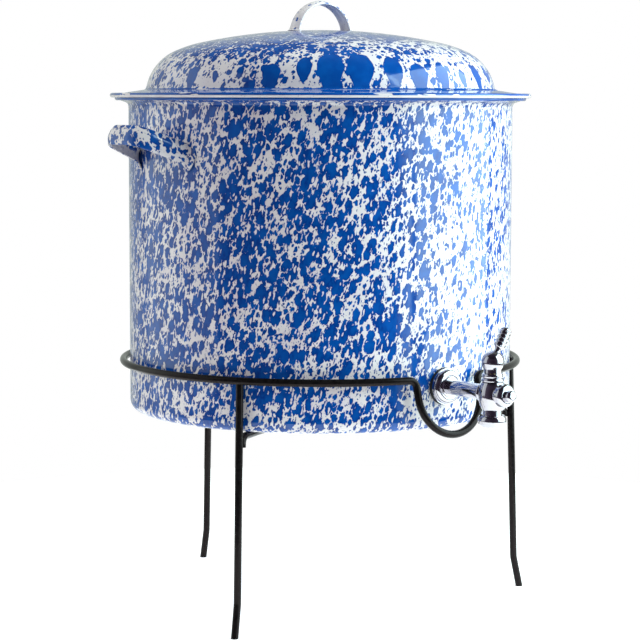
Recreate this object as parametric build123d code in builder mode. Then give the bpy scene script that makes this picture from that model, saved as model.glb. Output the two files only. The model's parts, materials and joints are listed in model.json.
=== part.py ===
"""Enamelled steel water canner with a lid and a quarter-turn tap, on a wire stand.

Millimetres, +Z up, the tap points along -Y. The origin is on the ground under the middle
of the whole object's box, so the pot's own upright axis stands at y = POT_Y.
"""

from build123d import *
import os
from math import asin, atan, cos, degrees, radians, sin, sqrt, tan

os.makedirs("parts", exist_ok=True)

# ------------------------------------------------------------------ driving dimensions
# pot
POT_R = 159.0  # outside of the wall
POT_FLOOR_Z = 159.3  # underside of the bottom
POT_CORNER_R = 8.5
SHEET = 1.2  # enamelled steel sheet
POT_FLANGE_Z = 413.0  # where the wall turns outward
POT_FLANGE_BEND_R = 3.5
POT_BEAD_R = 1.7  # rolled edge
POT_BEAD_REACH = 168.6  # bead centre from the pot's axis
POT_BEAD_Z = 417.1

# lid
LID_TOP_Z = 473.4
CROWN_R = 475.0  # shallow top of the dome
CROWN_TURN = 12.0  # degrees of each stretch of the dome
HAUNCH_R = 110.0
HAUNCH_TURN = 12.0
SHOULDER_R = 41.0
SHOULDER_TURN = 54.0
CREASE_R = 3.0
LID_FLANGE_SLOPE = 8.5  # degrees, falling outward
LID_CREASE_Z = 423.4
LID_BEAD_R = 1.9
LID_BEAD_REACH = 172.3
LID_BEAD_Z = 419.6

# strap handles
LID_ARCH_R = 29.6  # outside of the lid handle's arch
LID_ARCH_Z = 468.1  # level of the arch's centre
ARCH_LEG = 1.5  # straight end of the arch, trimmed to the dome
LID_STRAP_W = 13.0
SIDE_HANDLE_Z = 374.6
SIDE_HANDLE_TILT = 21.5  # degrees, outer end up
SIDE_HANDLE_REACH = 197.5  # outer end from the pot's axis
SIDE_HANDLE_ROOT_HALF = 37.5  # outer face of the strap at the wall
SIDE_HANDLE_END_HALF = 24.0
SIDE_HANDLE_CORNER_R = 18.5
SIDE_STRAP_W = 16.4
STRAP_T = 1.6
STRAP_CROWN = 2.6  # how far the strap's middle stands out from its edges

# wire stand
WIRE_R = 3.0
HOOP_R = 164.5
HOOP_Z = 200.5
DIP_ANGLE = 13.0  # degrees from the tap to each end of the hoop
DIP_LEAN = 14.0  # degrees, foot of the dip outward
DIP_FLOOR_Z = 156.9
DIP_BEND_R = 6.0
LEG_ANGLES = {"rear": 90.0, "left": 210.0, "right": 330.0}
LEG_TOP_REACH = 163.1
LEG_TOP_Z = 199.3
LEG_KNEE_REACH = 168.3
LEG_KNEE_Z = 26.0
LEG_KNEE_R = 25.0
FOOT_REACH = 173.6
SPOKE_GAP = 0.2  # clearance under the pot
SPOKE_BEND_R = 6.0
SPOKE_TAIL_Z = 148.0
SPOKE_SHARE = 120.0  # degrees between the spokes
WELD_PITCH = 5.7  # spoke tail to leg, centre to centre, a little under one wire

# tap
TAP_Z = 193.4
TAP_BODY_REACH = 214.8  # upright axis of the tap body from the pot's axis
SHANK_R = 6.1
SHANK_END = 137.0  # end inside the pot
WALL_HOLE_R = 6.4
WATERWAY_R = 3.0
GASKET_T = 2.5
OUTER_GASKET_R = 14.6
GASKET_ROUND = 0.6
FLANGE_R = 14.4
FLANGE_DEPTH = 6.4
INNER_GASKET_R = 11.5
WASHER_R = 12.0
WASHER_T = 1.5
WASHER_CHAMFER = 0.3
NUT_FLATS = 19.0
NUT_T = 6.5
PLUG_R = 4.95
PLUG_CLEARANCE = 0.05
PLUG_FOOT_Z = 185.7
PLUG_TOP_Z = 199.4
PORT_R = 2.4
SEAL_R = 0.7  # section radius of an O-ring
SEAL_LEVELS = {"lower": 188.4, "upper": 197.7}
STEM_R = 2.55
STEM_TOP_Z = 214.9
BONNET_SEAT_Z = 202.4
BONNET_TOP_Z = 209.3
SPIGOT_R = 6.5
BONNET_GAP = 0.3  # between the plug and the bonnet's spigot
HUB_R = 8.8
HUB_Z = 218.0
HUB_FOOT_Z = 209.6
LEVER_TILT = 30.0  # degrees from upright, towards +X when closed
LEVER_END = 28.3  # from the hub's centre
NECK_R = 2.7
NECK_END = 9.8
GRIP_R = 4.7
GRIP_START = 13.2
GROOVE_START = 15.9
GROOVE_PITCH = 3.2
GROOVES = 4
SPOUT_LIP_Z = 168.7
SPOUT_SEAT_Z = 176.9
FRONT_END = 238.0  # tip of the front plug from the pot's axis

# ------------------------------------------------------------------ places and planes
REAR_REACH = FOOT_REACH + WIRE_R / cos(atan((FOOT_REACH - LEG_KNEE_REACH) / LEG_KNEE_Z))
POT_Y = (FRONT_END - REAR_REACH) / 2
BODY_Y = POT_Y - TAP_BODY_REACH

pot_axis = Axis((0, POT_Y, 0), (0, 0, 1))
pot_section = Plane(origin=(0, POT_Y, 0), x_dir=(1, 0, 0), z_dir=(0, -1, 0))
shank_axis = Axis((0, POT_Y, TAP_Z), (0, -1, 0))
shank_section = Plane(origin=(0, POT_Y, TAP_Z), x_dir=(0, -1, 0), z_dir=(-1, 0, 0))
shank_face = Plane(origin=(0, POT_Y, TAP_Z), x_dir=(1, 0, 0), z_dir=(0, -1, 0))
body_axis = Axis((0, BODY_Y, 0), (0, 0, 1))
body_section = Plane(origin=(0, BODY_Y, 0), x_dir=(1, 0, 0), z_dir=(0, -1, 0))
lever_x, lever_z = sin(radians(LEVER_TILT)), cos(radians(LEVER_TILT))
lever_axis = Axis((0, BODY_Y, HUB_Z), (lever_x, 0, lever_z))
lever_section = Plane(
    origin=(0, BODY_Y, HUB_Z), x_dir=(lever_x, 0, lever_z), z_dir=(0, -1, 0)
)
lever_cross = Plane(origin=(0, BODY_Y, HUB_Z), z_dir=(lever_x, 0, lever_z))


def level(height):
    """Level plane whose origin is on the pot's axis."""
    return Plane(origin=(0, POT_Y, height))


def radial_plane(angle):
    """Upright plane through the pot's axis: x runs outward at this angle, y runs up."""
    outward = (cos(radians(angle)), sin(radians(angle)), 0)
    return Plane(origin=(0, POT_Y, 0), x_dir=outward, z_dir=(outward[1], -outward[0], 0))


def save(piece, name):
    """Label a finished piece and write it."""
    piece.part.label = name
    export_step(piece.part, f"parts/{name}.step")


# ------------------------------------------------------------------ wire stand
# The hoop is one wire. At the front it bends down into a round dip that clears the tap and
# leans outward.
hoop_end = Vector(HOOP_R * sin(radians(DIP_ANGLE)), POT_Y - HOOP_R * cos(radians(DIP_ANGLE)), HOOP_Z)
hoop_way = Vector(cos(radians(DIP_ANGLE)), -sin(radians(DIP_ANGLE)), 0)
dip_way = Vector(0, -sin(radians(DIP_LEAN)), -cos(radians(DIP_LEAN)))
half_bend = radians(hoop_way.get_angle(dip_way)) / 2
bend_run = DIP_BEND_R * tan(half_bend)
mirrored = Vector(-hoop_end.X, hoop_end.Y, hoop_end.Z)
dip_left = mirrored + (hoop_way + dip_way) * bend_run
dip_half = -dip_left.X
dip_drop = (dip_left.Z - DIP_FLOOR_Z) / cos(radians(DIP_LEAN)) - dip_half
dip_start = dip_left + dip_way * dip_drop
dip_foot = Vector(0, dip_start.Y, dip_start.Z) + dip_way * dip_half

with BuildPart() as stand_ring:
    with BuildLine() as ring_path:
        hoop = ThreePointArc(hoop_end, (0, POT_Y + HOOP_R, HOOP_Z), mirrored)
        TangentArc(hoop @ 1, dip_left, tangent=hoop % 1)
        Line(dip_left, dip_start)
        dip = ThreePointArc(dip_start, dip_foot, (-dip_start.X, dip_start.Y, dip_start.Z))
        rise = Line(dip @ 1, (-dip_left.X, dip_left.Y, dip_left.Z))
        TangentArc(rise @ 1, hoop @ 0, tangent=rise % 1)
    with BuildSketch(Plane(origin=hoop @ 0, z_dir=hoop % 0)):
        Circle(WIRE_R)
    sweep()
save(stand_ring, "stand_ring")

# Each leg is coped to the hoop's underside, splays a little and kicks out at the knee.
knee_slope = (FOOT_REACH - LEG_KNEE_REACH) / LEG_KNEE_Z
BELOW_GROUND = 4.0
legs = {}
for side, angle in LEG_ANGLES.items():
    with BuildPart() as leg:
        with BuildLine(radial_plane(angle)) as leg_path:
            FilletPolyline(
                (LEG_TOP_REACH, LEG_TOP_Z),
                (LEG_KNEE_REACH, LEG_KNEE_Z),
                (FOOT_REACH + BELOW_GROUND * knee_slope, -BELOW_GROUND),
                radius=LEG_KNEE_R,
            )
        with BuildSketch(Plane(origin=leg_path.line @ 0, z_dir=leg_path.line % 0)):
            Circle(WIRE_R)
        sweep()
        split(bisect_by=Plane.XY, keep=Keep.TOP)
        add(stand_ring.part, mode=Mode.SUBTRACT)
    save(leg, f"leg_{side}")
    legs[side] = leg

# Three spokes carry the pot. They are mitred together in the middle, and each outer end
# turns down into a short tail that is welded to the inside of its leg.
spoke_z = POT_FLOOR_Z - SPOKE_GAP - WIRE_R
leg_splay = (LEG_KNEE_REACH - LEG_TOP_REACH) / (LEG_TOP_Z - LEG_KNEE_Z)
tail_reach = LEG_TOP_REACH + (LEG_TOP_Z - SPOKE_TAIL_Z) * leg_splay - WELD_PITCH
for side, angle in LEG_ANGLES.items():
    outward = (cos(radians(angle)), sin(radians(angle)), 0)
    with BuildPart() as spoke:
        with BuildLine(radial_plane(angle)) as spoke_path:
            FilletPolyline(
                (-2 * WIRE_R, spoke_z),
                (tail_reach, spoke_z),
                (tail_reach, SPOKE_TAIL_Z),
                radius=SPOKE_BEND_R,
            )
        with BuildSketch(Plane(origin=spoke_path.line @ 0, z_dir=spoke_path.line % 0)):
            Circle(WIRE_R)
        sweep()
        with BuildSketch(Plane(origin=(0, POT_Y, SPOKE_TAIL_Z), x_dir=outward, z_dir=(0, 0, 1))):
            Polygon(
                (0, 0),
                (HOOP_R, -HOOP_R * tan(radians(SPOKE_SHARE / 2))),
                (HOOP_R, HOOP_R * tan(radians(SPOKE_SHARE / 2))),
                align=None,
            )
        extrude(amount=POT_FLOOR_Z - SPOKE_TAIL_Z, mode=Mode.INTERSECT)
        add(legs[side].part, mode=Mode.SUBTRACT)
    save(spoke, f"spoke_{side}")

# ------------------------------------------------------------------ pot
with BuildPart() as pot_shell:
    with BuildSketch(pot_section):
        with BuildLine():
            FilletPolyline(
                (0, POT_FLOOR_Z),
                (POT_R, POT_FLOOR_Z),
                (POT_R, POT_FLANGE_Z),
                (POT_BEAD_REACH, POT_BEAD_Z - SHEET / 2),
                radius=[POT_CORNER_R, POT_FLANGE_BEND_R],
            )
            offset(amount=SHEET, side=Side.LEFT)
        make_face()
        with Locations((POT_BEAD_REACH, POT_BEAD_Z)):
            Circle(POT_BEAD_R)
    revolve(axis=pot_axis)
    with BuildSketch(shank_face):
        Circle(WALL_HOLE_R)
    extrude(amount=POT_R + SHEET, mode=Mode.SUBTRACT)
save(pot_shell, "pot_shell")

# Each side handle is a crowned strap bent into a loop, tilted up, ending on two pads.
PAD_LENGTH = 13.0
PAD_HEIGHT = 19.0
PAD_T = 1.4
STRAP_OVERRUN = 8.5  # how far strap and pads reach into the wall before they are trimmed to it
for side, facing in (("left", -1), ("right", 1)):
    tilt = radians(SIDE_HANDLE_TILT)
    loop_up = (-facing * sin(tilt), 0, cos(tilt))
    loop_root = (facing * POT_R, POT_Y, SIDE_HANDLE_Z)
    loop_plane = Plane(origin=loop_root, x_dir=(facing * cos(tilt), 0, sin(tilt)), z_dir=loop_up)
    loop_reach = (SIDE_HANDLE_REACH - POT_R) / cos(tilt)
    with BuildPart() as handle:
        with BuildLine(loop_plane) as loop_path:
            FilletPolyline(
                (-STRAP_OVERRUN, -SIDE_HANDLE_ROOT_HALF),
                (loop_reach, -SIDE_HANDLE_END_HALF),
                (loop_reach, SIDE_HANDLE_END_HALF),
                (-STRAP_OVERRUN, SIDE_HANDLE_ROOT_HALF),
                radius=SIDE_HANDLE_CORNER_R,
            )
        start = loop_path.line @ 0
        with BuildSketch(Plane(origin=start, x_dir=loop_up, z_dir=loop_path.line % 0)):
            with BuildLine():
                ThreePointArc(
                    (-SIDE_STRAP_W / 2, -STRAP_CROWN), (0, 0), (SIDE_STRAP_W / 2, -STRAP_CROWN)
                )
                offset(amount=STRAP_T, side=Side.RIGHT)
            make_face()
        sweep()
        for turn in (-1, 1):
            pad_angle = degrees(asin(SIDE_HANDLE_ROOT_HALF / POT_R)) * turn
            pad_plane = radial_plane(90 - 90 * facing + pad_angle)
            with BuildSketch(
                Plane(
                    origin=pad_plane.from_local_coords((POT_R + PAD_T, SIDE_HANDLE_Z, 0)),
                    x_dir=(0, 0, 1),
                    z_dir=pad_plane.x_dir,
                )
            ):
                Ellipse(PAD_HEIGHT / 2, PAD_LENGTH / 2)
            extrude(amount=-STRAP_OVERRUN)
        with BuildSketch(level(SIDE_HANDLE_Z - PAD_HEIGHT)):
            Circle(POT_R)
        extrude(amount=2 * PAD_HEIGHT, mode=Mode.SUBTRACT)
    save(handle, f"handle_{side}")

# ------------------------------------------------------------------ lid
LID_SLOPE_X = cos(radians(LID_FLANGE_SLOPE))
LID_SLOPE_Z = sin(radians(LID_FLANGE_SLOPE))
with BuildPart() as lid_shell:
    with BuildSketch(pot_section):
        with BuildLine():
            crown = JernArc((0, LID_TOP_Z), (1, 0), CROWN_R, -CROWN_TURN)
            haunch = JernArc(crown @ 1, crown % 1, HAUNCH_R, -HAUNCH_TURN)
            shoulder = JernArc(haunch @ 1, haunch % 1, SHOULDER_R, -SHOULDER_TURN)
            wall_turn = CROWN_TURN + HAUNCH_TURN + SHOULDER_TURN
            wall_z = LID_CREASE_Z + CREASE_R
            wall_drop = (shoulder @ 1).Y - wall_z
            wall = Line(
                shoulder @ 1,
                ((shoulder @ 1).X + wall_drop / tan(radians(wall_turn)), wall_z),
            )
            crease = JernArc(wall @ 1, wall % 1, CREASE_R, wall_turn - LID_FLANGE_SLOPE)
            flange_run = LID_BEAD_REACH - (crease @ 1).X
            Line(
                crease @ 1,
                (LID_BEAD_REACH, (crease @ 1).Y - flange_run * LID_SLOPE_Z / LID_SLOPE_X),
            )
            offset(amount=SHEET, side=Side.RIGHT)
        make_face()
        with Locations((LID_BEAD_REACH, LID_BEAD_Z)):
            Circle(LID_BEAD_R)
    revolve(axis=pot_axis)
save(lid_shell, "lid_shell")

# The lid handle is a crowned strap bent into a half circle, standing on the dome.
arch_foot = LID_ARCH_Z - ARCH_LEG
with BuildPart() as lid_handle:
    with BuildLine(pot_section) as arch_path:
        left_foot = Line((-LID_ARCH_R, arch_foot), (-LID_ARCH_R, LID_ARCH_Z))
        arch = ThreePointArc(
            left_foot @ 1, (0, LID_ARCH_Z + LID_ARCH_R), (LID_ARCH_R, LID_ARCH_Z)
        )
        Line(arch @ 1, (LID_ARCH_R, arch_foot))
    with BuildSketch(Plane(origin=arch_path.line @ 0, x_dir=(0, 1, 0), z_dir=(0, 0, 1))):
        with BuildLine():
            ThreePointArc((-LID_STRAP_W / 2, -STRAP_CROWN), (0, 0), (LID_STRAP_W / 2, -STRAP_CROWN))
            offset(amount=STRAP_T, side=Side.RIGHT)
        make_face()
    sweep()
    with Locations((0, POT_Y, LID_TOP_Z - CROWN_R)):
        Sphere(CROWN_R, mode=Mode.SUBTRACT)
save(lid_handle, "lid_handle")

# ------------------------------------------------------------------ tap, fixed pieces
# Stations along the shank are distances from the pot's own axis.
WALL_IN = POT_R - SHEET
GASKET_FACE = POT_R + GASKET_T
INNER_FACE = WALL_IN - GASKET_T

with BuildPart() as outer_gasket:
    with BuildSketch(shank_section):
        with Locations((WALL_IN, SHANK_R)):
            Rectangle(GASKET_FACE - WALL_IN, OUTER_GASKET_R - SHANK_R, align=Align.MIN)
        fillet(vertices().sort_by(Axis.X)[-1:], GASKET_ROUND)
    revolve(axis=shank_axis)
    with BuildSketch(level(TAP_Z - OUTER_GASKET_R)):
        Circle(POT_R)
    extrude(amount=2 * OUTER_GASKET_R, mode=Mode.SUBTRACT)
save(outer_gasket, "outer_gasket")

# Bell-shaped flange with a thin rim, a domed face and a raised collar round the shank.
FLANGE_RIM = 1.2
FLANGE_COLLAR_R = 8.5
with BuildPart() as tap_flange:
    with BuildSketch(shank_section):
        with BuildLine():
            rim_foot = (GASKET_FACE, FLANGE_R)
            rim_top = (GASKET_FACE + FLANGE_RIM, FLANGE_R)
            collar_foot = (GASKET_FACE + FLANGE_DEPTH - FLANGE_RIM, FLANGE_COLLAR_R)
            collar_top = (GASKET_FACE + FLANGE_DEPTH, FLANGE_COLLAR_R - FLANGE_RIM / 2)
            Line((GASKET_FACE, SHANK_R), rim_foot)
            Line(rim_foot, rim_top)
            dome_start = (rim_top[0], FLANGE_R - FLANGE_RIM / 2)
            Line(rim_top, dome_start)
            TangentArc(dome_start, collar_foot, tangent=(1, 0))
            Line(collar_foot, collar_top)
            Line(collar_top, (collar_top[0], SHANK_R))
            Line((collar_top[0], SHANK_R), (GASKET_FACE, SHANK_R))
        make_face()
    revolve(axis=shank_axis)
save(tap_flange, "tap_flange")

with BuildPart() as inner_gasket:
    with BuildSketch(shank_section):
        with Locations((INNER_FACE, SHANK_R)):
            Rectangle(2 * GASKET_T, INNER_GASKET_R - SHANK_R, align=Align.MIN)
    revolve(axis=shank_axis)
    with BuildSketch(level(TAP_Z - INNER_GASKET_R)):
        Circle(WALL_IN)
    extrude(amount=2 * INNER_GASKET_R, mode=Mode.INTERSECT)
save(inner_gasket, "inner_gasket")

with BuildPart() as inner_washer:
    with BuildSketch(shank_section):
        with Locations((INNER_FACE - WASHER_T, SHANK_R)):
            Rectangle(WASHER_T, WASHER_R - SHANK_R, align=Align.MIN)
        chamfer(vertices().group_by(Axis.Y)[-1], WASHER_CHAMFER)
    revolve(axis=shank_axis)
save(inner_washer, "inner_washer")

# Hexagon nut; turning its outline with chamfered ends rounds the corners.
NUT_FACE = INNER_FACE - WASHER_T
NUT_CORNER_R = NUT_FLATS / sqrt(3)
NUT_CHAMFER = 1.0
with BuildPart() as lock_nut:
    with BuildSketch(shank_face.offset(NUT_FACE - NUT_T)):
        RegularPolygon(NUT_CORNER_R, 6)
        Circle(SHANK_R, mode=Mode.SUBTRACT)
    extrude(amount=NUT_T)
    with BuildSketch(shank_section):
        with Locations((NUT_FACE - NUT_T, 0)):
            Rectangle(NUT_T, NUT_CORNER_R, align=Align.MIN)
        chamfer(vertices().group_by(Axis.Y)[-1], NUT_CHAMFER)
    revolve(axis=shank_axis, mode=Mode.INTERSECT)
save(lock_nut, "lock_nut")

# Body: a round bulb on an upright axis with the shank, its collar bead and the front boss
# turned on the level axis. The plug bore opens at the top, the outlet bore at the bottom.
BULB_R = 10.9
BULB_Z = 192.4
BULB_FOOT_Z = 181.0
NECK_TOP_R = 7.5
SEAT_R = 8.8
COLLAR_R = 7.6
COLLAR_START = 202.6
COLLAR_END = 206.2
BOSS_R = 7.6
BOSS_END = 226.2
OUTLET_R = 3.6
SHANK_CHAMFER = 1.0
SPIGOT_FOOT_Z = PLUG_TOP_Z + BONNET_GAP
with BuildPart() as tap_body:
    with BuildSketch(body_section):
        with BuildLine():
            Polyline(
                (0, BONNET_SEAT_Z), (0, SPOUT_SEAT_Z), (NECK_TOP_R, SPOUT_SEAT_Z),
                (NECK_TOP_R, BULB_FOOT_Z),
            )
            ThreePointArc((NECK_TOP_R, BULB_FOOT_Z), (BULB_R, BULB_Z), (SEAT_R, BONNET_SEAT_Z))
            Line((SEAT_R, BONNET_SEAT_Z), (0, BONNET_SEAT_Z))
        make_face()
    revolve(axis=body_axis)
    with BuildSketch(shank_section):
        with BuildLine():
            Polyline(
                (SHANK_END, 0), (SHANK_END, SHANK_R - SHANK_CHAMFER),
                (SHANK_END + SHANK_CHAMFER, SHANK_R),
                (COLLAR_START, SHANK_R),
            )
            ThreePointArc(
                (COLLAR_START, SHANK_R),
                ((COLLAR_START + COLLAR_END) / 2, COLLAR_R),
                (COLLAR_END, SHANK_R),
            )
            Polyline((COLLAR_END, SHANK_R), (BOSS_END, BOSS_R), (BOSS_END, 0), (SHANK_END, 0))
        make_face()
    revolve(axis=shank_axis)
    with BuildSketch(Plane(origin=(0, BODY_Y, PLUG_FOOT_Z - PLUG_CLEARANCE))):
        Circle(PLUG_R + PLUG_CLEARANCE)
    extrude(amount=HUB_Z - PLUG_FOOT_Z, mode=Mode.SUBTRACT)
    with BuildSketch(Plane(origin=(0, BODY_Y, SPIGOT_FOOT_Z))):
        Circle(SPIGOT_R)
    extrude(amount=HUB_Z - SPIGOT_FOOT_Z, mode=Mode.SUBTRACT)
    with BuildSketch(Plane(origin=(0, BODY_Y, SPOUT_SEAT_Z))):
        Circle(OUTLET_R)
    extrude(amount=TAP_Z - SPOUT_SEAT_Z, mode=Mode.SUBTRACT)
    with BuildSketch(Plane(origin=(0, BODY_Y, SPOUT_SEAT_Z))):
        Circle(PLUG_R)
    extrude(amount=BULB_FOOT_Z - SPOUT_SEAT_Z, mode=Mode.SUBTRACT)
    with BuildSketch(shank_face.offset(SHANK_END)):
        Circle(WATERWAY_R)
    extrude(amount=BOSS_END - SHANK_END, mode=Mode.SUBTRACT)
save(tap_body, "tap_body")

# Flared cup below the body, held by a short spigot.
CUP_R = 11.0
CUP_BELLY_Z = 173.6
CUP_SHOULDER_R = 9.6
CUP_LIP_R = 8.6
CUP_BORE_R = 5.4
CUP_BEVEL = 1.5
with BuildPart() as outlet_spout:
    with BuildSketch(body_section):
        with BuildLine():
            spigot_top = (PLUG_R, BULB_FOOT_Z)
            Polyline(
                (OUTLET_R, BULB_FOOT_Z), spigot_top, (PLUG_R, SPOUT_SEAT_Z),
                (CUP_SHOULDER_R, SPOUT_SEAT_Z),
            )
            ThreePointArc(
                (CUP_SHOULDER_R, SPOUT_SEAT_Z), (CUP_R, CUP_BELLY_Z), (CUP_LIP_R, SPOUT_LIP_Z)
            )
            Polyline(
                (CUP_LIP_R, SPOUT_LIP_Z), (CUP_BORE_R + CUP_BEVEL, SPOUT_LIP_Z),
                (CUP_BORE_R, SPOUT_LIP_Z + CUP_BEVEL), (CUP_BORE_R, CUP_BELLY_Z),
                (OUTLET_R, SPOUT_SEAT_Z), (OUTLET_R, BULB_FOOT_Z),
            )
        make_face()
    revolve(axis=body_axis)
save(outlet_spout, "outlet_spout")

# Stepped plug that closes the front end of the drilled waterway.
FRONT_HEAD_R = 9.0
FRONT_HEAD_EDGE = BOSS_END + 2.6
FRONT_HEAD_END = BOSS_END + 6.4
FRONT_NUB_R = 4.6
FRONT_NUB_ROUND = 2.6
FRONT_SPIGOT_END = BOSS_END - 5.0  # inner end of the plug's spigot in the waterway
with BuildPart() as front_plug:
    with BuildSketch(shank_section):
        with BuildLine():
            Polyline(
                (FRONT_SPIGOT_END, 0), (FRONT_SPIGOT_END, WATERWAY_R), (BOSS_END, WATERWAY_R),
                (BOSS_END, FRONT_HEAD_R), (FRONT_HEAD_EDGE, FRONT_HEAD_R),
            )
            TangentArc(
                (FRONT_HEAD_EDGE, FRONT_HEAD_R), (FRONT_HEAD_END, FRONT_NUB_R), tangent=(1, 0)
            )
            nub_start = FRONT_END - FRONT_NUB_ROUND
            Line((FRONT_HEAD_END, FRONT_NUB_R), (nub_start, FRONT_NUB_R))
            TangentArc(
                (nub_start, FRONT_NUB_R), (FRONT_END, FRONT_NUB_R - FRONT_NUB_ROUND),
                tangent=(1, 0),
            )
            Polyline(
                (FRONT_END, FRONT_NUB_R - FRONT_NUB_ROUND), (FRONT_END, 0), (FRONT_SPIGOT_END, 0)
            )
        make_face()
    revolve(axis=shank_axis)
save(front_plug, "front_plug")

# Bonnet: two rounded ring steps over a spigot that screws into the body.
STEM_CLEARANCE = 0.05
BONNET_EDGE_R = 7.5
BONNET_STEP_Z = 205.7
BONNET_LOWER_R = 8.7
BONNET_UPPER_R = 8.2
with BuildPart() as bonnet_nut:
    with BuildSketch(body_section):
        with BuildLine():
            bore_r = STEM_R + STEM_CLEARANCE
            Polyline(
                (BONNET_EDGE_R, BONNET_SEAT_Z), (SPIGOT_R, BONNET_SEAT_Z),
                (SPIGOT_R, SPIGOT_FOOT_Z), (bore_r, SPIGOT_FOOT_Z), (bore_r, BONNET_TOP_Z),
                (BONNET_EDGE_R, BONNET_TOP_Z),
            )
            ThreePointArc(
                (BONNET_EDGE_R, BONNET_TOP_Z),
                (BONNET_UPPER_R, (BONNET_TOP_Z + BONNET_STEP_Z) / 2),
                (BONNET_EDGE_R, BONNET_STEP_Z),
            )
            ThreePointArc(
                (BONNET_EDGE_R, BONNET_STEP_Z),
                (BONNET_LOWER_R, (BONNET_STEP_Z + BONNET_SEAT_Z) / 2),
                (BONNET_EDGE_R, BONNET_SEAT_Z),
            )
        make_face()
    revolve(axis=body_axis)
save(bonnet_nut, "bonnet_nut")

# ------------------------------------------------------------------ tap, turning pieces
# Plug with an axial bore from below that meets one side port. Closed, the port faces -X.
SEAL_BITE = 0.02  # keeps each seal's outside just under the plug's
GROOVE_R = PLUG_R - 2 * SEAL_R + SEAL_BITE  # floor of each seal groove
with BuildPart() as valve_plug:
    with BuildSketch(body_section):
        with BuildLine():
            Polyline(
                (0, PLUG_FOOT_Z), (PLUG_R, PLUG_FOOT_Z), (PLUG_R, PLUG_TOP_Z),
                (STEM_R, PLUG_TOP_Z), (STEM_R, STEM_TOP_Z), (0, STEM_TOP_Z), (0, PLUG_FOOT_Z),
            )
        make_face()
        for height in SEAL_LEVELS.values():
            with Locations((GROOVE_R, height)):
                Rectangle(PLUG_R, 2 * SEAL_R, align=(Align.MIN, Align.CENTER), mode=Mode.SUBTRACT)
    revolve(axis=body_axis)
    with BuildSketch(Plane(origin=(0, BODY_Y, PLUG_FOOT_Z))):
        Circle(PORT_R)
    extrude(amount=TAP_Z - PLUG_FOOT_Z, mode=Mode.SUBTRACT)
    with BuildSketch(Plane(origin=(0, BODY_Y, TAP_Z), z_dir=(-1, 0, 0))):
        Circle(PORT_R)
    extrude(amount=2 * PLUG_R, mode=Mode.SUBTRACT)
save(valve_plug, "valve_plug")

for seal_name, height in SEAL_LEVELS.items():
    with BuildPart() as plug_seal:
        with BuildSketch(body_section):
            with Locations((GROOVE_R + SEAL_R, height)):
                Circle(SEAL_R)
        revolve(axis=body_axis)
    save(plug_seal, f"plug_seal_{seal_name}")

# Hub: a ball on a short skirt, bored for the stem, the lever's spigot and the set screw.
SKIRT_R = 6.9
SKIRT_TOP_Z = 212.8
LEVER_SPIGOT_R = 2.0
LEVER_SPIGOT_START = 4.0
LEVER_SEAT = 8.0
SCREW_R = 1.5
SCREW_Z = 212.6
SCREW_END = 6.6
SCREW_SOCKET = 1.3
SCREW_KEY_R = 0.75
with BuildPart() as lever_hub:
    with Locations((0, BODY_Y, HUB_Z)):
        Sphere(HUB_R)
    with BuildSketch(Plane(origin=(0, BODY_Y, HUB_FOOT_Z))):
        Circle(SKIRT_R)
    extrude(amount=SKIRT_TOP_Z - HUB_FOOT_Z)
    split(bisect_by=Plane(origin=(0, BODY_Y, HUB_FOOT_Z)), keep=Keep.TOP)
    with BuildSketch(Plane(origin=(0, BODY_Y, HUB_FOOT_Z))):
        Circle(STEM_R)
    extrude(amount=STEM_TOP_Z - HUB_FOOT_Z, mode=Mode.SUBTRACT)
    with BuildSketch(lever_cross.offset(LEVER_SPIGOT_START)):
        Circle(LEVER_SPIGOT_R)
    extrude(amount=HUB_R, mode=Mode.SUBTRACT)
    with BuildSketch(lever_cross.offset(LEVER_SEAT)):
        Circle(NECK_R)
    extrude(amount=HUB_R, mode=Mode.SUBTRACT)
    with BuildSketch(Plane(origin=(0, BODY_Y, SCREW_Z), z_dir=(0, 1, 0))):
        Circle(SCREW_R)
    extrude(amount=HUB_R, mode=Mode.SUBTRACT)
save(lever_hub, "lever_hub")

with BuildPart() as lever_screw:
    with BuildSketch(Plane(origin=(0, BODY_Y + STEM_R, SCREW_Z), z_dir=(0, 1, 0))):
        Circle(SCREW_R)
    extrude(amount=SCREW_END - STEM_R)
    with BuildSketch(Plane(origin=(0, BODY_Y + SCREW_END, SCREW_Z), z_dir=(0, 1, 0))):
        RegularPolygon(SCREW_KEY_R, 6)
    extrude(amount=-SCREW_SOCKET, mode=Mode.SUBTRACT)
    with BuildSketch(Plane(origin=(0, BODY_Y, HUB_FOOT_Z))):
        Circle(STEM_R)
    extrude(amount=STEM_TOP_Z - HUB_FOOT_Z, mode=Mode.SUBTRACT)
save(lever_screw, "lever_screw")

# Lever: spigot, slim neck and a grooved grip with a rounded end, turned in one piece.
GROOVE_DEPTH = 1.0
GROOVE_HALF = 0.85
TIP_ROUND = 2.6
with BuildPart() as lever_arm:
    with BuildSketch(lever_section):
        with BuildLine():
            Polyline(
                (LEVER_SPIGOT_START, 0), (LEVER_SPIGOT_START, LEVER_SPIGOT_R),
                (LEVER_SEAT, LEVER_SPIGOT_R), (LEVER_SEAT, NECK_R), (NECK_END, NECK_R),
            )
            TangentArc((NECK_END, NECK_R), (GRIP_START, GRIP_R), tangent=(1, 0))
            Line((GRIP_START, GRIP_R), (LEVER_END - TIP_ROUND, GRIP_R))
            TangentArc(
                (LEVER_END - TIP_ROUND, GRIP_R), (LEVER_END, GRIP_R - TIP_ROUND), tangent=(1, 0)
            )
            Polyline((LEVER_END, GRIP_R - TIP_ROUND), (LEVER_END, 0), (LEVER_SPIGOT_START, 0))
        make_face()
        for number in range(GROOVES):
            with Locations((GROOVE_START + number * GROOVE_PITCH, GRIP_R)):
                Ellipse(GROOVE_HALF, GROOVE_DEPTH, mode=Mode.SUBTRACT)
    revolve(axis=lever_axis)
save(lever_arm, "lever_arm")
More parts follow.
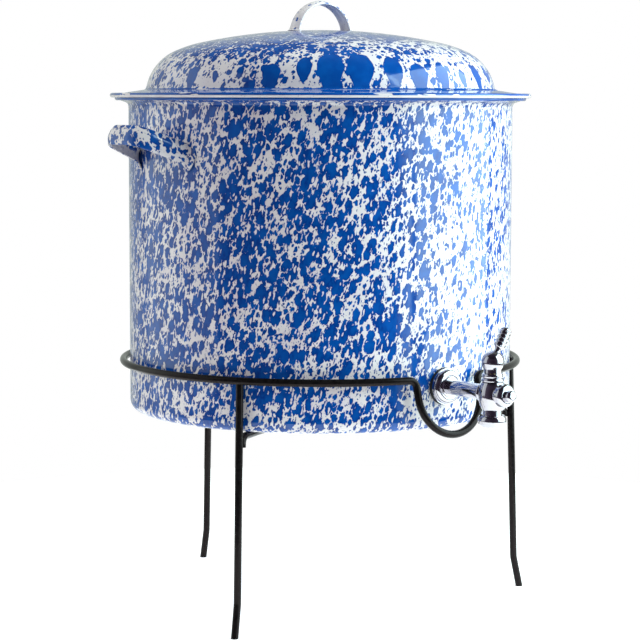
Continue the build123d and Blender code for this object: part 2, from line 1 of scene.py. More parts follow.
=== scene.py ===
"""Looks of the enamelled canner with a tap on its wire stand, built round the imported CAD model.

Metres, in the CAD model's frame: +Z up, the tap points along -Y.
"""

import json
from math import asin, cos, pi, radians, sin, sqrt, tan

import bmesh
import bpy
from mathutils import Matrix, Vector

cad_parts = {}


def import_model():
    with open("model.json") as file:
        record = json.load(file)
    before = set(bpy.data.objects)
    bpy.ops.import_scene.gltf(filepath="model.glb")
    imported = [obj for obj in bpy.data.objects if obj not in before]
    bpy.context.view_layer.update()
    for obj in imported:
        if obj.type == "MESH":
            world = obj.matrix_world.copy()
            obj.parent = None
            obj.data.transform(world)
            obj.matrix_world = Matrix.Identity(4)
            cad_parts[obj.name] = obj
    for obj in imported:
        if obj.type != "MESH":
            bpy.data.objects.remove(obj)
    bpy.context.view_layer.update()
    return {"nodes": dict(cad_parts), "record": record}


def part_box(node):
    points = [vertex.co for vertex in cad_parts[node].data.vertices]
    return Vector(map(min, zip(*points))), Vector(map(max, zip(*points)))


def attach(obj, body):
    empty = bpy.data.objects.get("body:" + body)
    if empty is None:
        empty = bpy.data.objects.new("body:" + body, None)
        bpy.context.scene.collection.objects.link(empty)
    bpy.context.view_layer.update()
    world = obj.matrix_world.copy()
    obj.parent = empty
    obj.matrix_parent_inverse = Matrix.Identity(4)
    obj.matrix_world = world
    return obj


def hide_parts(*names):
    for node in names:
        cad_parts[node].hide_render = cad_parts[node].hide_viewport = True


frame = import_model()

MM = 0.001

# ------------------------------------------------------------------ places from the frame
pot_low, pot_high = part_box("pot_shell")
lid_low, lid_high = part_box("lid_shell")
POT_Y = (pot_low.y + pot_high.y) / 2
POT_AXIS = Vector((0, POT_Y, 0))
POT_FLOOR_Z = pot_low.z
POT_RIM_Z = pot_high.z
POT_RIM_R = pot_high.x

# ------------------------------------------------------------------ sizes that the boxes don't give
POT_WALL_R = 159.0 * MM  # outside of the straight wall
POT_CORNER_R = 8.5 * MM
LID_CREASE_Z = 423.4 * MM  # foot of the dome
LID_CREASE_R = 145.5 * MM
LID_CROWN_R = 475.0 * MM
LID_ARCH_R = 29.6 * MM  # outside of the lid handle's arch
ARCH_CENTRE = Vector((0, POT_Y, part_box("lid_handle")[1].z - LID_ARCH_R))


# ------------------------------------------------------------------ node trees
class Graph:
    """A material's node tree, with short calls for the nodes that repeat."""

    def __init__(self, name):
        self.material = bpy.data.materials.new(name)
        self.material.use_nodes = True
        self.nodes = self.material.node_tree.nodes
        self.links = self.material.node_tree.links
        self.nodes.clear()
        output = self.nodes.new("ShaderNodeOutputMaterial")
        self.shader = self.nodes.new("ShaderNodeBsdfPrincipled")
        self.links.new(self.shader.outputs[0], output.inputs[0])
        self.place = self.nodes.new("ShaderNodeTexCoord").outputs["Object"]

    def normal(self):
        return self.nodes.new("ShaderNodeNewGeometry").outputs["True Normal"]

    def feed(self, socket, value):
        if isinstance(value, bpy.types.NodeSocket):
            self.links.new(value, socket)
        else:
            socket.default_value = value

    def set(self, **values):
        """Fixed or linked values of the shader's own inputs; underscores stand for spaces."""
        for name, value in values.items():
            self.feed(self.shader.inputs[name.replace("_", " ")], value)

    def math(self, operation, *values):
        node = self.nodes.new("ShaderNodeMath")
        node.operation = operation
        for socket, value in zip(node.inputs, values):
            self.feed(socket, value)
        return node.outputs[0]

    def vector(self, operation, *values):
        node = self.nodes.new("ShaderNodeVectorMath")
        node.operation = operation
        for socket, value in zip(node.inputs, values):
            self.feed(socket, value)
        return node.outputs["Value" if operation in ("LENGTH", "DOT_PRODUCT") else "Vector"]

    def split(self, vector):
        node = self.nodes.new("ShaderNodeSeparateXYZ")
        self.feed(node.inputs[0], vector)
        return node.outputs

    def join(self, x, y, z):
        node = self.nodes.new("ShaderNodeCombineXYZ")
        for socket, value in zip(node.inputs, (x, y, z)):
            self.feed(socket, value)
        return node.outputs[0]

    def noise(self, place, scale, detail=2.0, roughness=0.5):
        """The outputs of a noise with this many swells to the metre."""
        node = self.nodes.new("ShaderNodeTexNoise")
        self.feed(node.inputs["Vector"], place)
        for name, value in (("Scale", scale), ("Detail", detail), ("Roughness", roughness)):
            node.inputs[name].default_value = value
        return node.outputs

    def scatter(self, place, scale):
        """Distance to the nearest of scattered points, of which a metre holds this many in a row."""
        node = self.nodes.new("ShaderNodeTexVoronoi")
        self.feed(node.inputs["Vector"], place)
        node.inputs["Scale"].default_value = scale
        return node.outputs["Distance"]

    def ramp(self, value, low, high, to_low=0.0, to_high=1.0):
        """A smooth change from to_low at low to to_high at high."""
        node = self.nodes.new("ShaderNodeMapRange")
        node.interpolation_type = "SMOOTHSTEP"
        for socket, number in zip(node.inputs, (value, low, high, to_low, to_high)):
            self.feed(socket, number)
        return node.outputs[0]

    def mix(self, share, a, b):
        """Colour a where share is 0, colour b where it is 1."""
        node = self.nodes.new("ShaderNodeMix")
        node.data_type = "RGBA"
        for socket, value in ((node.inputs[0], share), (node.inputs[6], a), (node.inputs[7], b)):
            if isinstance(value, tuple):
                value = (*value, 1.0)
            self.feed(socket, value)
        return node.outputs[2]

    def bump(self, height, distance):
        node = self.nodes.new("ShaderNodeBump")
        self.feed(node.inputs["Height"], height)
        node.inputs["Distance"].default_value = distance
        self.links.new(node.outputs[0], self.shader.inputs["Normal"])


# ------------------------------------------------------------------ enamel
COBALT = (0.0005, 0.037, 0.225)
COBALT_LIGHT = (0.0013, 0.080, 0.365)
OFF_WHITE = (0.745, 0.715, 0.720)
GREY_WHITE = (0.665, 0.625, 0.650)
FRECKLE = (0.22, 0.19, 0.36)
EDGE = 0.16 * MM  # half width of the soft edge between blue and white
TONE_WIDTH = 9 * MM  # over which the blue's tone drifts
CLOUD_WIDTH = 28 * MM  # over which the white's tone drifts
PEEL_WIDTH = 7 * MM  # over which the glaze's surface swells
RELIEF = 0.05 * MM
WARPS = ((5.5 * MM, 2.7 * MM), (1.8 * MM, 0.48 * MM))  # width and amount of each push
COVER_WIDTH = 38.0 * MM  # over which the blue's share drifts
BLOTCHES = ((9.5, 4.15, 0.0), (5.2, 2.05, 0.37), (3.1, 0.95, 0.71))  # pitch and radius in mm, shift
SLIT_PITCH = 4.4 * MM
SLIT_R = 1.05 * MM
FRECKLE_PITCH = 2.6 * MM
FRECKLE_R = 0.42 * MM


def spots(graph, place, cell, radius):
    """How deep a place lies in round spots of this radius, in metres; spots that touch run together."""
    distance = graph.scatter(place, 1.0 / cell)
    return graph.math("SUBTRACT", radius, graph.math("MULTIPLY", distance, cell))


def wavy(graph, place, width, amount):
    """The place, pushed about by up to this amount over this width."""
    noise = graph.noise(place, 1.0 / width, 2.0, 0.6)["Color"]
    push = graph.vector("SCALE", graph.vector("SUBTRACT", noise, (0.5,) * 3))
    push.node.inputs["Scale"].default_value = 2 * amount
    return graph.vector("ADD", place, push)


def swell(graph, place, width, low, high):
    """A number that drifts between low and high over this width."""
    return graph.ramp(graph.noise(place, 1.0 / width, 1.0)[0], 0.30, 0.70, low, high)


def splatter(graph, place, size, cover, white=1.0):
    """Depth in the blue of splattered enamel, in metres; below 0 is white.

    size scales the blotches, cover the blue's share, and white the slits left in it.
    """
    base = place
    for width, amount in WARPS:
        base = wavy(graph, base, width * size, amount * size)
    share = graph.math("MULTIPLY", swell(graph, place, COVER_WIDTH * size, 0.84, 1.17), cover)
    blue = None
    for cell, radius, shift in BLOTCHES:
        moved = graph.vector("ADD", base, (shift, shift * 0.5, -shift))
        limit = graph.math("MULTIPLY", share, radius * MM * size)
        depth = spots(graph, moved, cell * MM * size, limit)
        blue = depth if blue is None else graph.math("MAXIMUM", blue, depth)
    upright = graph.vector("MULTIPLY", graph.vector("ADD", base, (0.13, 0.29, 0.53)), (1.0, 1.0, 0.50))
    bare = spots(graph, upright, SLIT_PITCH * size, SLIT_R * size * white)
    return graph.math("MINIMUM", blue, graph.math("MULTIPLY", bare, -1.0))


def lean(graph, place, stretch, slope):
    """Draws a pattern out along Z and leans it round the upright axis."""
    turn = graph.nodes.new("ShaderNodeVectorRotate")
    turn.rotation_type = "Z_AXIS"
    graph.feed(turn.inputs["Vector"], place)
    graph.feed(turn.inputs["Angle"], graph.math("MULTIPLY", graph.split(place)[2], slope / POT_WALL_R))
    return graph.vector("MULTIPLY", turn.outputs[0], (1.0, 1.0, stretch))


def reach_of(graph, place):
    """Distance from the pot's axis."""
    x, y = graph.split(place)[:2]
    return graph.vector("LENGTH", graph.join(x, y, 0.0))


def finish_enamel(graph, place, depth, shell):
    """Colours, gloss and slight relief of the enamel; shell is 1 on the splattered side of a sheet."""
    blue = graph.math("MULTIPLY", graph.ramp(depth, -EDGE, EDGE), shell)
    tone = graph.noise(place, 1.0 / TONE_WIDTH)[0]
    cobalt = graph.mix(graph.ramp(tone, 0.35, 0.75), COBALT, COBALT_LIGHT)
    thick = graph.ramp(depth, EDGE, 9 * EDGE)
    cobalt = graph.mix(graph.math("MULTIPLY", thick, 0.55), cobalt, COBALT_LIGHT)
    cloud = graph.noise(place, 1.0 / CLOUD_WIDTH)[0]
    white = graph.mix(graph.ramp(cloud, 0.3, 0.7), GREY_WHITE, OFF_WHITE)
    freckle = spots(graph, graph.vector("ADD", place, (0.9, 0.4, 0.2)), FRECKLE_PITCH, FRECKLE_R)
    freckle = graph.math("MULTIPLY", graph.ramp(freckle, -EDGE, EDGE), 0.55)
    white = graph.mix(freckle, white, FRECKLE)
    graph.set(Base_Color=graph.mix(blue, white, cobalt), Roughness=0.085, IOR=1.52)
    peel = graph.noise(graph.place, 1.0 / PEEL_WIDTH, 1.0)[0]
    graph.bump(graph.math("ADD", graph.math("MULTIPLY", blue, 0.45), peel), RELIEF)


def from_axis(graph):
    """The place, seen from the pot's axis."""
    return graph.vector("SUBTRACT", graph.place, tuple(POT_AXIS))


TOWARDS_KEY = Vector((0.79, -0.61, 0))  # side of the pot facing the key light; the thinner blue there is a painted highlight standing in for that light's bleaching
ROLL_IN = (3.6 * MM, 3.0 * MM)  # the blue roll starts between these distances from the rim's edge
ROLL_DOWN = (3.4 * MM, 2.6 * MM)  # and between these under its top
ROLL_DEPTH = 5 * MM
SKIN = (0.7 * MM, 0.5 * MM)  # the splattered side ends between these depths in the sheet


def pot_enamel():
    """Splatter outside, with less blue towards the key light as a painted highlight, plain white inside,
    and a blue roll at the rim.
    """
    graph = Graph("pot_enamel")
    place = from_axis(graph)
    reach = reach_of(graph, place)
    height = graph.split(place)[2]
    # painted highlight: the blue's share falls off on the side facing the key light
    towards_light = graph.vector("DOT_PRODUCT", place, tuple(TOWARDS_KEY / POT_WALL_R))
    cover = graph.ramp(towards_light, 0.25, 0.80, 1.12, 0.91)
    depth = splatter(graph, lean(graph, place, 0.64, -0.16), size=0.74, cover=cover)
    rim = graph.ramp(reach, POT_RIM_R - ROLL_IN[0], POT_RIM_R - ROLL_IN[1])
    over = graph.ramp(height, POT_RIM_Z - ROLL_DOWN[0], POT_RIM_Z - ROLL_DOWN[1])
    roll = graph.math("MULTIPLY", graph.math("MULTIPLY", rim, over), ROLL_DEPTH)
    depth = graph.math("ADD", depth, roll)
    sideways = graph.math("MAXIMUM", graph.math("SUBTRACT", reach, POT_WALL_R - POT_CORNER_R), 0.0)
    downward = graph.math("MAXIMUM", graph.math("SUBTRACT", POT_FLOOR_Z + POT_CORNER_R, height), 0.0)
    skin = graph.vector("LENGTH", graph.join(sideways, downward, 0.0))
    outside = graph.ramp(skin, POT_CORNER_R - SKIN[0], POT_CORNER_R - SKIN[1])
    finish_enamel(graph, place, depth, outside)
    return graph


DROPS = 37  # round the foot of the dome
DROP_PITCH = 2 * pi * LID_CREASE_R / DROPS
DROP_R = (4.5 * MM, 11.5 * MM)
DROP_Z = (LID_CREASE_Z + 10 * MM, LID_CREASE_Z + 19 * MM)
DROP_END = (LID_CREASE_Z + 26 * MM, LID_CREASE_Z + 34 * MM)  # the drops end between these levels
DROP_WARP = (7 * MM, 2.4 * MM)
CROWN_FOOT = (LID_CREASE_Z + 20 * MM, LID_CREASE_Z + 33 * MM)  # the blue thickens between these levels
STREAK_RUN = 14 * MM  # how far the streaks' pattern moves on in a radian of the brim
STREAK_WIDTH = 3.4 * MM
BRIM = (LID_CREASE_R - 1.0 * MM, LID_CREASE_R + 0.5 * MM)
BARE_EDGE = (lid_low.z + 1.3 * MM, lid_low.z + 2.0 * MM)  # the roll of the edge is white under these


def lid_drops(graph, angle, height, front):
    """Depth in the row of big drops low on the dome, which are larger on the tap's side."""
    column = graph.math("MULTIPLY", graph.math("ADD", angle, pi), DROPS / (2 * pi))
    index = graph.math("FLOOR", column)
    chance = graph.nodes.new("ShaderNodeTexWhiteNoise")
    chance.noise_dimensions = "1D"
    graph.feed(chance.inputs["W"], index)
    shift, tall, keep = graph.split(chance.outputs["Color"])
    along = graph.math("SUBTRACT", graph.math("FRACT", column), graph.ramp(shift, 0, 1, 0.42, 0.58))
    along = graph.math("MULTIPLY", along, DROP_PITCH)
    rise = graph.math("SUBTRACT", height, graph.ramp(tall, 0, 1, *DROP_Z))
    upper = graph.math("GREATER_THAN", rise, 0.0)
    stretch = graph.ramp(upper, 0, 1, 0.50, 0.85)
    along = graph.math("MULTIPLY", along, graph.ramp(rise, -15 * MM, 4 * MM, 1.5, 0.95))
    flat = graph.join(along, graph.math("MULTIPLY", rise, stretch), index)
    ragged = graph.split(wavy(graph, flat, *DROP_WARP))
    distance = graph.vector("LENGTH", graph.join(ragged[0], ragged[1], 0.0))
    size = graph.ramp(keep, 0.1, 0.9, *DROP_R)
    radius = graph.math("MULTIPLY", size, graph.ramp(front, 0.30, 0.80, 0.5, 1.0))
    drop = graph.math("SUBTRACT", radius, distance)
    return graph.math("ADD", drop, graph.ramp(height, *DROP_END, 0.0, -12 * MM))


def lid_enamel():
    """Dense splatter on the crown, thinner above the row of big drops, and a streaked brim."""
    graph = Graph("lid_enamel")
    place = from_axis(graph)
    x, y, height = graph.split(place)
    reach = reach_of(graph, place)
    front = graph.math("MULTIPLY", y, -1.0 / LID_CREASE_R)
    crown_cover = graph.ramp(front, 0.40, 0.85, 1.42, 1.02)
    cover = graph.ramp(height, *CROWN_FOOT, 0.80, crown_cover)
    fine = splatter(graph, lean(graph, place, 0.75, -0.15), size=0.85, cover=cover)
    angle = graph.math("ARCTAN2", x, y)
    depth = graph.math("MAXIMUM", fine, lid_drops(graph, angle, height, front))
    streaks = graph.join(graph.math("MULTIPLY", angle, STREAK_RUN), reach, 0.0)
    streaks = graph.noise(streaks, 1.0 / STREAK_WIDTH, 3.0, 0.6)[0]
    streaks = graph.ramp(streaks, 0.30, 0.56, -2 * MM, 4 * MM)
    brim = graph.ramp(reach, *BRIM)
    depth = graph.math(
        "ADD", graph.math("MULTIPLY", depth, graph.math("SUBTRACT", 1.0, brim)),
        graph.math("MULTIPLY", streaks, brim),
    )
    depth = graph.math("ADD", depth, graph.ramp(height, *BARE_EDGE, -8 * MM, 0.0))
    upward = graph.math("GREATER_THAN", graph.split(graph.normal())[2], -0.05)
    finish_enamel(graph, place, depth, upward)
    return graph


INNER_FACE = (-0.45, -0.30)  # the blue of a strap starts between these slants to the outward direction


def handle_enamel(name, cover, size, white, centre, spread):
    """Splatter on a strap's outer face and edges; the inner face, towards the centre, stays plain."""
    graph = Graph(name)
    place = from_axis(graph)
    depth = splatter(graph, lean(graph, place, 0.8, 0.2), size, cover, white)
    outward = graph.vector("MULTIPLY", graph.vector("SUBTRACT", graph.place, tuple(centre)), spread)
    outward = graph.vector("NORMALIZE", outward)
    facing = graph.vector("DOT_PRODUCT", graph.normal(), outward)
    finish_enamel(graph, place, depth, graph.ramp(facing, *INNER_FACE))
    return graph


# ------------------------------------------------------------------ metals and rubber
def black_wire():
    """Black lacquer with a soft shine."""
    graph = Graph("black_wire")
    grain = graph.noise(graph.place, scale=400.0, detail=3.0)[0]
    graph.set(
        Base_Color=graph.mix(graph.ramp(grain, 0.3, 0.7), (0.004, 0.0035, 0.0035), (0.009, 0.008, 0.008)),
        Roughness=graph.ramp(grain, 0.2, 0.8, 0.10, 0.16), IOR=1.25,
        Specular_Tint=(1.0, 0.80, 0.80, 1.0),
    )
    graph.bump(grain, 0.03 * MM)
    return graph


def metal(name, colour, roughness, wear):
    """A bare metal; wear is how much rougher its smeared places are."""
    graph = Graph(name)
    smear = graph.noise(graph.place, scale=160.0, detail=3.0)[0]
    graph.set(
        Base_Color=graph.mix(graph.ramp(smear, 0.3, 0.7), colour, tuple(0.93 * c for c in colour)),
        Metallic=1.0,
        Roughness=graph.ramp(smear, 0.3, 0.8, roughness, roughness + wear),
    )
    graph.bump(graph.noise(graph.place, scale=220.0)[0], 0.01 * MM)
    return graph


def rubber():
    graph = Graph("rubber")
    grain = graph.noise(graph.place, scale=900.0, detail=3.0)[0]
    graph.set(
        Base_Color=graph.mix(grain, (0.008, 0.008, 0.008), (0.020, 0.019, 0.019)), Roughness=0.62
    )
    graph.bump(grain, 0.04 * MM)
    return graph


FINISH = {
    "enamel": pot_enamel(),
    "enamel_lid": lid_enamel(),
    "side_handle": handle_enamel("side_handle_enamel", 1.06, 0.95, 0.8, POT_AXIS, (1.0, 0.4, 0.0)),
    "lid_handle": handle_enamel("lid_handle_enamel", 0.62, 1.0, 0.6, ARCH_CENTRE, (1.0, 0.0, 1.0)),
    "black_wire": black_wire(),
    "chrome": metal("chrome", (0.56, 0.54, 0.58), 0.07, 0.05),
    "steel": metal("steel", (0.50, 0.49, 0.48), 0.26, 0.12),
    "brass": metal("brass", (0.78, 0.57, 0.25), 0.24, 0.12),
    "rubber": rubber(),
}


def paint(node, graph):
    """Gives a CAD node's object a finish without touching its mesh."""
    thing = frame["nodes"][node]
    for slot in thing.material_slots:
        slot.material = graph.material
    if not thing.material_slots:
        thing.data.materials.append(graph.material)


for part in frame["record"]["subparts"]:
    paint(part["node"], FINISH[part["material_slot"]])


# ------------------------------------------------------------------ strap handles
STRAP_T = 1.9 * MM
SEAT_DEPTH = 0.35 * MM  # how far a strap's foot sinks into the sheet
FOOT_SPREAD = 0.9  # widest spread of a foot, as a share of its flare
FOOT_SQUARE = 2.2  # how much more a foot spreads off its flat faces than a round one would

SIDE_TILT = radians(21.5)
STRAP_PROUD = 0.9 * MM  # how far the tilted strap's edge reaches past its crest
SIDE_HANDLE_Z = 374.6 * MM
SIDE_STRAP_W = 16.4 * MM
SIDE_STRAP_CROWN = 2.6 * MM
SIDE_FLARE = 5.5 * MM
SIDE_ROOT_HALF = 37.5 * MM
SIDE_END_HALF = 24.0 * MM
SIDE_CORNER_R = 18.5 * MM
SIDE_INSIDE = 8 * MM  # the line starts this far inside the wall; seating brings its places out
SIDE_STEP = 1.6 * MM

LID_STRAP_W = 13.0 * MM
LID_STRAP_CROWN = 1.9 * MM
LID_FLARE = 4.0 * MM
LID_STEP = 1.2 * MM
ARCH_STEPS = 48


def rounded(corners, radius, steps=10):
    """A line through the corners with each inner corner rounded to an arc."""
    line = [corners[0]]
    for before, corner, after in zip(corners, corners[1:], corners[2:]):
        back, ahead = (before - corner).normalized(), (after - corner).normalized()
        half = back.angle(ahead) / 2
        centre = corner + (back + ahead).normalized() * radius / sin(half)
        start = corner + back * radius / tan(half) - centre
        end = corner + ahead * radius / tan(half) - centre
        line += [centre + start.slerp(end, i / steps).normalized() * radius for i in range(steps + 1)]
    return line + [corners[-1]]


def spaced(line, step):
    """Evenly spaced places along a line, close to this step apart."""
    reach = [0.0]
    for a, b in zip(line, line[1:]):
        reach.append(reach[-1] + (b - a).length)
    count = round(reach[-1] / step)
    places, k = [], 0
    for i in range(count + 1):
        goal = reach[-1] * i / count
        while k < len(line) - 2 and reach[k + 1] < goal:
            k += 1
        places.append(line[k].lerp(line[k + 1], (goal - reach[k]) / (reach[k + 1] - reach[k])))
    return places


def strap_section(width, thickness, crown, steps=8, edge_steps=6):
    """Outline of a crowned strap with round edges: across, and outward from its outer face's crest."""
    face = []
    for i in range(steps + 1):
        across = (2 * i / steps - 1) * (width - thickness) / 2
        face.append((across, -crown * (2 * across / width) ** 2))
    edge = thickness / 2
    middle = -crown * ((width - thickness) / width) ** 2 - edge
    turn = [radians(90 - 180 * i / edge_steps) for i in range(1, edge_steps)]
    right = [((width - thickness) / 2 + edge * cos(a), middle + edge * sin(a)) for a in turn]
    left = [(-x, y) for x, y in reversed(right)]
    return face + right + [(x, y - thickness) for x, y in reversed(face)] + left


def strap(name, line, side, depth_at, seat, flare, width, crown):
    """A crowned strap along a line, spreading into soft feet where it meets the sheet.

    side is the strap's flat direction, depth_at gives a place's height over the sheet, and seat
    moves a place that lies behind the sheet's face to just inside it.
    """
    section = strap_section(width, STRAP_T, crown)
    middle = -(crown + STRAP_T) / 2
    mesh = bmesh.new()
    rings = []
    for i, place in enumerate(line):
        ahead = (line[min(i + 1, len(line) - 1)] - line[max(i - 1, 0)]).normalized()
        out = side.cross(ahead).normalized()
        over = min(max(depth_at(place) / flare, 0.0), 1.0)
        spread = flare * FOOT_SPREAD * (1 - sqrt(1 - (1 - over) ** 2))
        ring = []
        for across, outward in section:
            push = Vector((across, (outward - middle) * FOOT_SQUARE)).normalized() * spread
            spot = place + side * (across + push.x) + out * (outward + push.y)
            ring.append(mesh.verts.new(seat(spot)))
        rings.append(ring)
    count = len(section)
    for a, b in zip(rings, rings[1:]):
        for j in range(count):
            mesh.faces.new((a[j], a[(j + 1) % count], b[(j + 1) % count], b[j]))
    mesh.faces.new(rings[0])
    mesh.faces.new(reversed(rings[-1]))
    bmesh.ops.recalc_face_normals(mesh, faces=mesh.faces)
    data = bpy.data.meshes.new(name)
    mesh.to_mesh(data)
    mesh.free()
    data.shade_smooth()
    piece = bpy.data.objects.new(name, data)
    bpy.context.scene.collection.objects.link(piece)
    smooth = piece.modifiers.new("smooth", "SUBSURF")
    smooth.levels = smooth.render_levels = 1
    return piece


def over_wall(place):
    """Distance of a place outside the pot's wall."""
    return Vector((place.x, place.y - POT_Y)).length - POT_WALL_R


def seat_in_wall(place):
    """The place, kept from going deeper than the pot's sheet."""
    out = place - POT_AXIS
    out.z = 0
    least = POT_WALL_R - SEAT_DEPTH
    if out.length < least:
        place = place + out.normalized() * (least - out.length)
    return place


def crown_z(reach):
    """Level of the lid's crown over a distance from its middle."""
    return lid_high.z - LID_CROWN_R + sqrt(LID_CROWN_R**2 - reach**2)


def over_crown(place):
    """Height of a place of the arch over the lid's crown."""
    return place.z - crown_z(place.x)


def seat_in_crown(place):
    """The place, kept from going deeper than the lid's sheet."""
    least = crown_z(Vector((place.x, place.y - POT_Y)).length) - SEAT_DEPTH
    return Vector((place.x, place.y, max(place.z, least)))


def side_handle(node, facing):
    """One pot handle, standing for its CAD node; facing is 1 on the +X side."""
    low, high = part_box(node)
    tip_x = high.x if facing > 0 else -low.x
    along = Vector((facing * cos(SIDE_TILT), 0, sin(SIDE_TILT)))
    root = POT_AXIS + Vector((facing * POT_WALL_R, 0, SIDE_HANDLE_Z))
    tip = (tip_x - STRAP_PROUD - POT_WALL_R) / cos(SIDE_TILT)
    across = Vector((0, facing, 0))
    stations = (
        (-SIDE_INSIDE, SIDE_ROOT_HALF), (tip, SIDE_END_HALF),
        (tip, -SIDE_END_HALF), (-SIDE_INSIDE, -SIDE_ROOT_HALF),
    )
    corners = [root + along * reach + across * half for reach, half in stations]
    line = spaced(rounded(corners, SIDE_CORNER_R), SIDE_STEP)
    side = along.cross(Vector((0, 1, 0))).normalized() * facing
    piece = strap(
        "strap_" + node, line, side, over_wall, seat_in_wall,
        SIDE_FLARE, SIDE_STRAP_W, SIDE_STRAP_CROWN,
    )
    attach(piece, "pot")
    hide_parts(node)
    piece.data.materials.append(FINISH["side_handle"].material)


def lid_handle():
    """The arched strap on the lid, standing for its CAD node."""
    start = asin((crown_z(LID_ARCH_R) - 2 * SEAT_DEPTH - ARCH_CENTRE.z) / LID_ARCH_R)
    line = []
    for i in range(ARCH_STEPS + 1):
        angle = start + (pi - 2 * start) * i / ARCH_STEPS
        line.append(ARCH_CENTRE + LID_ARCH_R * Vector((cos(angle), 0, sin(angle))))
    piece = strap(
        "strap_lid_handle", spaced(line, LID_STEP), Vector((0, 1, 0)), over_crown, seat_in_crown,
        LID_FLARE, LID_STRAP_W, LID_STRAP_CROWN,
    )
    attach(piece, "lid")
    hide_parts("lid_handle")
    piece.data.materials.append(FINISH["lid_handle"].material)


side_handle("handle_left", -1)
side_handle("handle_right", 1)
lid_handle()


# ------------------------------------------------------------------ camera
CAMERA_AZIMUTH = radians(37.75)  # clockwise from the tap, seen from above
CAMERA_REACH = 1.7803
CAMERA_Z = 0.4154
CAMERA_PITCH = radians(5.875)
CAMERA_ROLL = radians(0.12)
LENS = 119.87
SENSOR = 36.0

look = Vector((sin(CAMERA_AZIMUTH), cos(CAMERA_AZIMUTH), 0))
camera_data = bpy.data.cameras.new("camera")
camera_data.lens = LENS
camera_data.sensor_width = SENSOR
camera = bpy.data.objects.new("camera", camera_data)
camera.location = POT_AXIS - look * CAMERA_REACH + Vector((0, 0, CAMERA_Z))
camera.rotation_euler = (
    Matrix.Rotation(-CAMERA_AZIMUTH, 3, "Z")
    @ Matrix.Rotation(pi / 2 - CAMERA_PITCH, 3, "X")
    @ Matrix.Rotation(CAMERA_ROLL, 3, "Z")
).to_euler()
bpy.context.scene.collection.objects.link(camera)
bpy.context.scene.camera = camera


# ------------------------------------------------------------------ floor and light
FLOOR_REACH = 0.62
FLOOR_GLOW = 0.62
ROOM_FAR = (0.030, 0.022, 0.036, 1.0)  # straight behind the camera
ROOM_NEAR = (0.16, 0.13, 0.19, 1.0)
WALLS = (0.52, 0.57, 0.53, 1.0)
ROOM_END = 0.46  # the room ends and the walls start here, from behind the camera to ahead of it
WALLS_START = 0.57
WALL_TOP = radians(33)  # elevation where the bright walls end
WALL_TOP_SOFT = 0.12  # radians on either side of it
CEILING = 0.30  # strength above the walls
AIM_Z = 0.30  # every panel faces the pot's axis at this level
KEY_TINT = (0.74, 1.0, 1.0)
KEY_EDGE = (3.3, 2.0, 0.9)  # radiance of the strips that soften the key's inner edge
KEY_EDGE_FROM = 51  # degrees
KEY_EDGE_STEP = 3


def studio_floor():
    """A round pale floor, lit from within so that it stays white round the feet."""
    mesh = bpy.data.meshes.new("floor")
    shape = bmesh.new()
    bmesh.ops.create_circle(shape, cap_ends=True, segments=96, radius=FLOOR_REACH)
    shape.to_mesh(mesh)
    shape.free()
    floor = bpy.data.objects.new("floor", mesh)
    floor.location = POT_AXIS
    bpy.context.scene.collection.objects.link(floor)
    graph = Graph("floor")
    mottle = graph.noise(graph.place, scale=3.0)[0]
    graph.set(
        Base_Color=graph.mix(mottle, (0.80, 0.80, 0.80), (0.84, 0.84, 0.84)), Roughness=0.9,
        Emission_Color=(1.0, 0.99, 1.0, 1.0), Emission_Strength=FLOOR_GLOW,
    )
    mesh.materials.append(graph.material)


def panel(name, azimuth, height, reach, size, radiance, colour, mirrored=True):
    """A soft rectangular light aimed at the pot; azimuth is to the right of the camera's side.

    One that is not mirrored lights the surfaces but shows in no reflection.
    """
    data = bpy.data.lights.new(name, "AREA")
    data.shape = "RECTANGLE"
    data.size, data.size_y = size
    data.energy = radiance * pi * size[0] * size[1]
    data.color = colour
    light = bpy.data.objects.new(name, data)
    light.visible_glossy = mirrored
    turn = CAMERA_AZIMUTH - radians(azimuth)
    side = Vector((-sin(turn), -cos(turn), 0))
    light.location = POT_AXIS + side * reach + Vector((0, 0, height))
    aim = POT_AXIS + Vector((0, 0, AIM_Z)) - light.location
    light.rotation_euler = aim.to_track_quat("-Z", "Y").to_euler()
    bpy.context.scene.collection.objects.link(light)


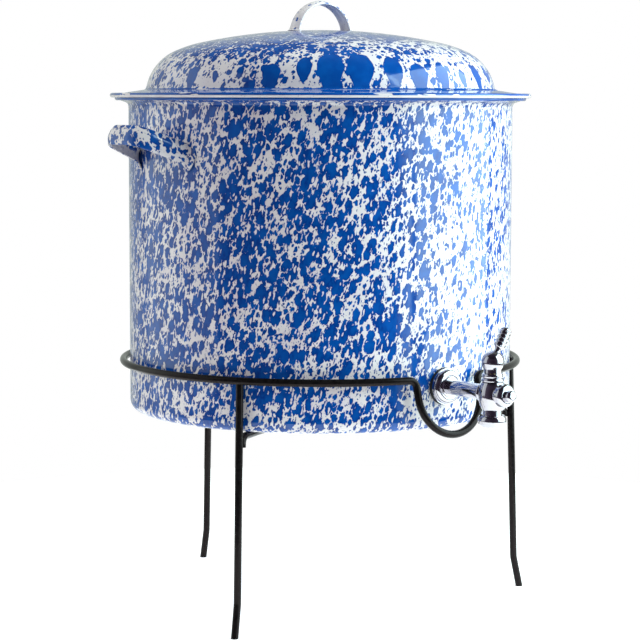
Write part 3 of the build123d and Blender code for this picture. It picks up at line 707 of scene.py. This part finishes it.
def world():
    """Bright walls behind the object, a dim room on the camera's side, white where it is seen."""
    scene_world = bpy.data.worlds.new("studio")
    bpy.context.scene.world = scene_world
    scene_world.use_nodes = True
    nodes, links = scene_world.node_tree.nodes, scene_world.node_tree.links
    nodes.clear()
    new = nodes.new
    direction = new("ShaderNodeTexCoord").outputs["Generated"]
    along = new("ShaderNodeVectorMath")
    along.operation = "DOT_PRODUCT"
    links.new(direction, along.inputs[0])
    along.inputs[1].default_value = look
    away = new("ShaderNodeMapRange")
    links.new(along.outputs["Value"], away.inputs["Value"])
    away.inputs["From Min"].default_value = -1.0
    shade = new("ShaderNodeValToRGB")
    links.new(away.outputs[0], shade.inputs[0])
    stops = shade.color_ramp.elements
    stops.new(ROOM_END)
    colours = ((0.0, ROOM_FAR), (ROOM_END, ROOM_NEAR), (WALLS_START, WALLS))
    for stop, (place, colour) in zip(stops, colours):
        stop.position, stop.color = place, colour
    upward = new("ShaderNodeSeparateXYZ")
    links.new(direction, upward.inputs[0])
    ceiling = new("ShaderNodeMapRange")
    ceiling.interpolation_type = "SMOOTHSTEP"
    limits = (sin(WALL_TOP - WALL_TOP_SOFT), sin(WALL_TOP + WALL_TOP_SOFT), 1.0, CEILING)
    for socket, value in zip(ceiling.inputs[1:5], limits):
        socket.default_value = value
    links.new(upward.outputs[2], ceiling.inputs[0])
    studio = new("ShaderNodeBackground")
    links.new(shade.outputs[0], studio.inputs["Color"])
    links.new(ceiling.outputs[0], studio.inputs["Strength"])
    seen = new("ShaderNodeBackground")
    seen.inputs["Color"].default_value = (1, 1, 1, 1)
    path = new("ShaderNodeLightPath")
    choice = new("ShaderNodeMixShader")
    links.new(path.outputs["Is Camera Ray"], choice.inputs[0])
    links.new(studio.outputs[0], choice.inputs[1])
    links.new(seen.outputs[0], choice.inputs[2])
    output = new("ShaderNodeOutputWorld")
    links.new(choice.outputs[0], output.inputs[0])


studio_floor()
world()
panel("key_right", 84, 0.72, 1.3, (1.6, 1.6), 4.6, KEY_TINT)
for step, radiance in enumerate(KEY_EDGE):
    azimuth = KEY_EDGE_FROM - KEY_EDGE_STEP * step
    panel("key_edge_%d" % step, azimuth, 0.72, 1.3, (0.068, 1.6), radiance, KEY_TINT)
panel("wall_left", -90, 0.72, 1.3, (1.75, 1.6), 0.68, (0.88, 1.0, 0.97))
panel("fill_left", -80, 0.72, 1.3, (1.2, 1.6), 0.45, (0.97, 1.0, 0.97), mirrored=False)
panel("fill_front", -50, 0.95, 1.6, (1.5, 1.5), 1.0, (1.0, 0.965, 0.98), mirrored=False)
panel("fill_right", 72, 0.80, 1.4, (1.4, 1.4), 3.1, (0.97, 1.0, 0.99), mirrored=False)
panel("fill_top", 170, 1.9, 0.4, (1.4, 1.4), 2.6, (0.95, 1.0, 0.97), mirrored=False)
bpy.context.scene.view_settings.view_transform = "Standard"
